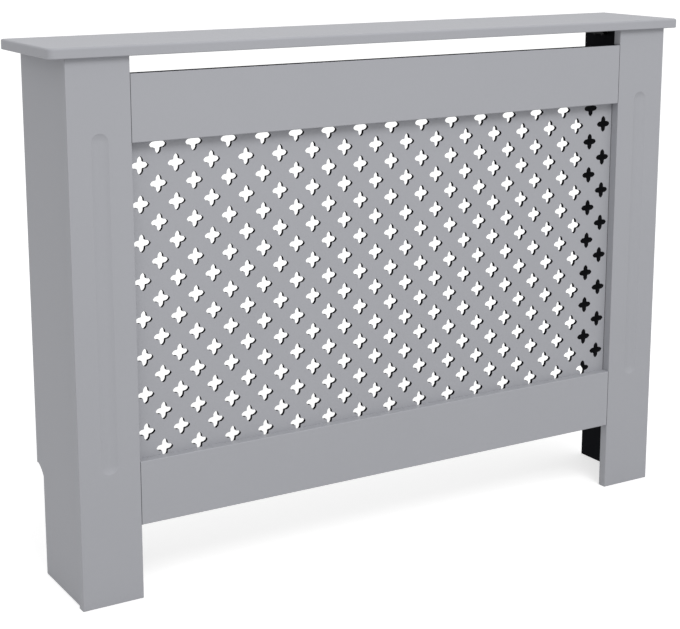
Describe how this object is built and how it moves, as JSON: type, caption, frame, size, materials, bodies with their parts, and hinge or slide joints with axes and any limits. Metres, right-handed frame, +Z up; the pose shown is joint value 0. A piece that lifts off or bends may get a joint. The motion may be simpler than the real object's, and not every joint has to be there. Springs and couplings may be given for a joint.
{
  "type": "radiator cover cabinet",
  "caption": "Free-standing painted board cabinet for hiding a radiator: overhanging shelf, fluted stiles, two rails, pierced sheet of staggered lobed holes, skirting notches.",
  "frame": {"origin": "on the floor, in the middle of the cabinet's overall width and depth", "axes": "+X to the right along the shelf, +Y from the room towards the wall, +Z up"},
  "size_m": [1.12, 0.19, 0.815],
  "materials": {
    "painted_board": "mid grey satin paint on MDF",
    "beech": "bare beech",
    "zinc_steel": "zinc plated",
    "block_plastic": "black nylon"
  },
  "bodies": {
    "root": {"shelf": "painted_board", "top_rail": "painted_board", "bottom_rail": "painted_board", "grille": "painted_board", "shelf_dowels": "beech", "wall_brackets": "zinc_steel", "stile_left": "painted_board", "stile_right": "painted_board", "side_panel_left": "painted_board", "side_panel_right": "painted_board", "stile_block_left_low": "block_plastic", "stile_block_left_middle": "block_plastic", "stile_block_left_high": "block_plastic", "stile_block_right_low": "block_plastic", "stile_block_right_middle": "block_plastic", "stile_block_right_high": "block_plastic", "shelf_block_left_front": "block_plastic", "shelf_block_left_rear": "block_plastic", "shelf_block_right_front": "block_plastic", "shelf_block_right_rear": "block_plastic"}
  },
  "joints": []
}
